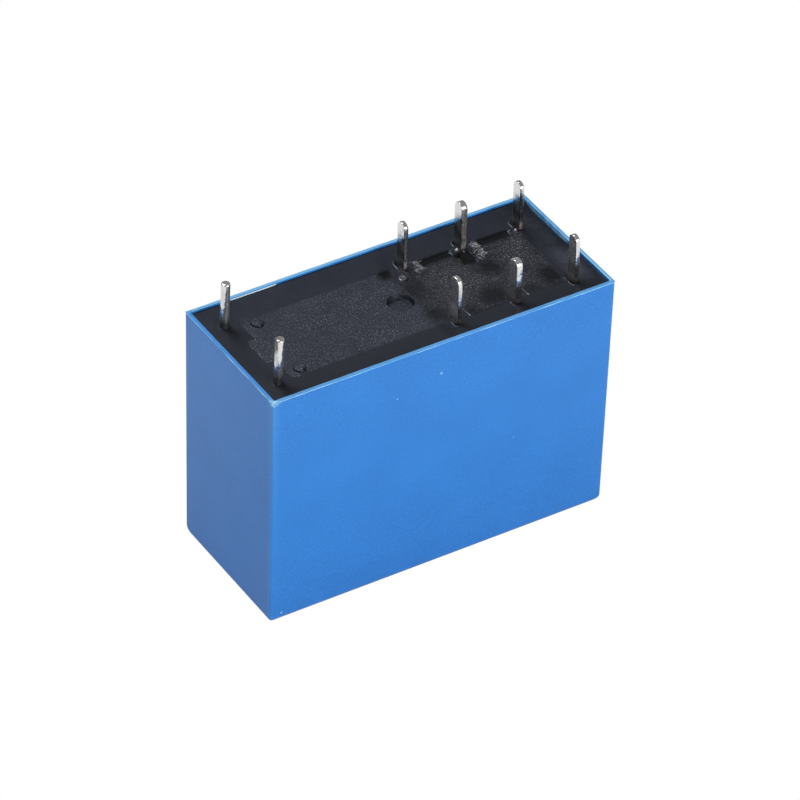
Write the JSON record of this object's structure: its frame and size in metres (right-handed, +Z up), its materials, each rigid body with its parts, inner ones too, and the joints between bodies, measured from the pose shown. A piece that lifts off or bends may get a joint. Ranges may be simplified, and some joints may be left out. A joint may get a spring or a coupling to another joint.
{
  "type": "pcb power relay",
  "caption": "Sealed power relay for a circuit board, lying on its closed face with the solder terminals up: blue moulded cover, resin-sealed black base, tinned pins.",
  "frame": {"origin": "centre of the cover's closed face, on the surface that the relay lies on", "axes": "+X along the length, from the coil terminals to the contact terminals; +Y across the cover; +Z up, the way the terminals point"},
  "size_m": [0.029, 0.0124, 0.0242],
  "materials": {
    "blue_cover": "fine moulded matt",
    "black_base": "moulded, fine grain",
    "sealing_resin": "cured casting resin, satin",
    "bobbin_plastic": "moulded",
    "copper_wire": "enamelled wire",
    "coil_tape": "polyester tape",
    "magnet_steel": "zinc plated",
    "spring_steel": "rolled strip",
    "card_plastic": "moulded",
    "tinned_copper": "bright tin plate",
    "contact_silver": "silver alloy",
    "spring_bronze": "rolled strip"
  },
  "bodies": {
    "housing": {"cover": "blue_cover", "base": "black_base", "sealing_resin": "sealing_resin", "bobbin": "bobbin_plastic", "coil_winding": "copper_wire", "coil_tape": "coil_tape", "core": "magnet_steel", "yoke": "magnet_steel", "hinge_spring": "spring_steel", "coil_terminal_1": "tinned_copper", "coil_lead_1": "copper_wire", "nc_terminal_1": "tinned_copper", "common_terminal_1": "tinned_copper", "no_terminal_1": "tinned_copper", "nc_contact_1": "contact_silver", "no_contact_1": "contact_silver", "coil_terminal_2": "tinned_copper", "coil_lead_2": "copper_wire", "nc_terminal_2": "tinned_copper", "common_terminal_2": "tinned_copper", "no_terminal_2": "tinned_copper", "nc_contact_2": "contact_silver", "no_contact_2": "contact_silver"},
    "armature": {"armature": "magnet_steel"},
    "pusher_card": {"pusher_card": "card_plastic"},
    "contact_arm_1": {"contact_spring_1": "spring_bronze", "moving_contact_1": "contact_silver"},
    "contact_arm_2": {"contact_spring_2": "spring_bronze", "moving_contact_2": "contact_silver"}
  },
  "joints": [
    {"name": "armature_hinge", "type": "hinge", "parent": "housing", "child": "armature", "pos_m": [0.00015, 0, 0.004], "axis": [0, 1, 0], "range_deg": [0, 4], "stiffness_Nm_per_rad": 0.02, "springref_deg": -2.86},
    {"name": "card_slide", "type": "slide", "parent": "housing", "child": "pusher_card", "axis": [1, 0, 0], "range_m": [0, 0.0004]},
    {"name": "contact_flex_1", "type": "hinge", "parent": "housing", "child": "contact_arm_1", "pos_m": [0.00708, -0.00375, 0.0142], "axis": [0, -1, 0], "range_deg": [0, 4.9]},
    {"name": "contact_flex_2", "type": "hinge", "parent": "housing", "child": "contact_arm_2", "pos_m": [0.00708, 0.00375, 0.0142], "axis": [0, -1, 0], "range_deg": [0, 4.9]}
  ],
  "couplings": [
    {"joint": "card_slide", "follows": "armature_hinge", "m_per_rad": 0.0056},
    {"joint": "contact_flex_1", "follows": "armature_hinge", "ratio": 1.2174},
    {"joint": "contact_flex_2", "follows": "armature_hinge", "ratio": 1.2174}
  ]
}
